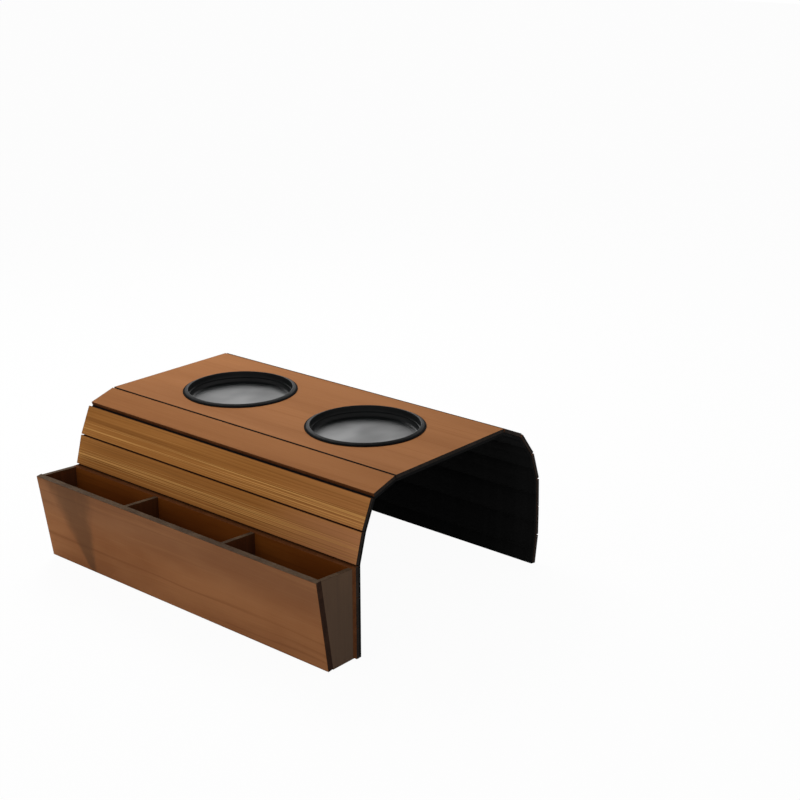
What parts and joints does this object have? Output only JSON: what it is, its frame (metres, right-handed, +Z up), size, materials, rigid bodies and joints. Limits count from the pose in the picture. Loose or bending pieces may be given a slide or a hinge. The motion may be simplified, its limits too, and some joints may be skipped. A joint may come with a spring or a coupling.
{
  "type": "sofa arm tray",
  "caption": "Flexible slatted tray draped over a sofa arm: flat top with round cup dishes, hinged slats down both sides, and a hanging caddy with open compartments.",
  "frame": {"origin": "middle of the underside of the top, where it rests on the arm", "axes": "+X along the slats and the arm, +Z up, -Y towards the caddy"},
  "size_m": [0.33, 0.278, 0.1395],
  "materials": {
    "board_reddish": "smooth printed wood grain, satin",
    "board_golden": "smooth printed wood grain, satin",
    "caddy_board": "satin board with dark cut edges",
    "cloth": "matte felt",
    "dish_plastic": "satin black"
  },
  "bodies": {
    "top": {"top_panel": "board_reddish", "top_backing": "cloth"},
    "dish_left": {"dish_left": "dish_plastic"},
    "dish_right": {"dish_right": "dish_plastic"},
    "near_1": {"near_slat_1": "board_reddish", "near_backing_1": "cloth"},
    "near_2": {"near_slat_2": "board_golden", "near_backing_2": "cloth"},
    "near_3": {"near_slat_3": "board_golden", "near_backing_3": "cloth"},
    "near_skirt": {"near_slat_4": "board_golden", "near_slat_5": "board_golden", "near_slat_6": "board_golden", "near_skirt_backing": "cloth", "caddy_back": "caddy_board", "caddy_front": "board_reddish", "caddy_floor": "caddy_board", "caddy_end_left": "caddy_board", "caddy_end_right": "caddy_board", "caddy_divider_1": "caddy_board", "caddy_divider_2": "caddy_board"},
    "far_1": {"far_slat_1": "board_reddish", "far_backing_1": "cloth"},
    "far_2": {"far_slat_2": "board_golden", "far_backing_2": "cloth"},
    "far_3": {"far_slat_3": "board_golden", "far_backing_3": "cloth"},
    "far_4": {"far_slat_4": "board_golden", "far_backing_4": "cloth"},
    "far_5": {"far_slat_5": "board_golden", "far_backing_5": "cloth"},
    "far_6": {"far_slat_6": "board_golden", "far_backing_6": "cloth"}
  },
  "joints": [
    {"name": "near_1_fold", "type": "hinge", "parent": "top", "child": "near_1", "pos_m": [0, -0.06775, 0.00125], "axis": [1, 0, 0], "range_deg": [-16.5, 13.5]},
    {"name": "near_2_fold", "type": "hinge", "parent": "near_1", "child": "near_2", "pos_m": [0, -0.09249, -0.00608], "axis": [1, 0, 0], "range_deg": [-49.5, 15.5]},
    {"name": "near_3_fold", "type": "hinge", "parent": "near_2", "child": "near_3", "pos_m": [0, -0.10298, -0.02965], "axis": [1, 0, 0], "range_deg": [-8.5, 16.5]},
    {"name": "near_skirt_fold", "type": "hinge", "parent": "near_3", "child": "near_skirt", "pos_m": [0, -0.10988, -0.05451], "axis": [1, 0, 0], "range_deg": [-15.5, 14.5]},
    {"name": "far_1_fold", "type": "hinge", "parent": "top", "child": "far_1", "pos_m": [0, 0.06775, 0.00125], "axis": [-1, 0, 0], "range_deg": [-24.52, 20.48]},
    {"name": "far_2_fold", "type": "hinge", "parent": "far_1", "child": "far_2", "pos_m": [0, 0.09122, -0.00946], "axis": [-1, 0, 0], "range_deg": [-27.48, 7.52]},
    {"name": "far_3_fold", "type": "hinge", "parent": "far_2", "child": "far_3", "pos_m": [0, 0.10711, -0.02979], "axis": [-1, 0, 0], "range_deg": [-19, 11]},
    {"name": "far_4_fold", "type": "hinge", "parent": "far_3", "child": "far_4", "pos_m": [0, 0.11551, -0.05418], "axis": [-1, 0, 0], "range_deg": [-17, 8]},
    {"name": "far_5_fold", "type": "hinge", "parent": "far_4", "child": "far_5", "pos_m": [0, 0.11641, -0.07997], "axis": [-1, 0, 0], "range_deg": [-1.5, 13.5]},
    {"name": "far_6_fold", "type": "hinge", "parent": "far_5", "child": "far_6", "pos_m": [0, 0.11663, -0.10577], "axis": [-1, 0, 0], "range_deg": [-8.5, 11.5]},
    {"name": "dish_left_lift", "type": "slide", "parent": "top", "child": "dish_left", "axis": [0, 0, 1], "range_m": [0, 0.015]},
    {"name": "dish_right_lift", "type": "slide", "parent": "top", "child": "dish_right", "axis": [0, 0, 1], "range_m": [0, 0.015]}
  ]
}
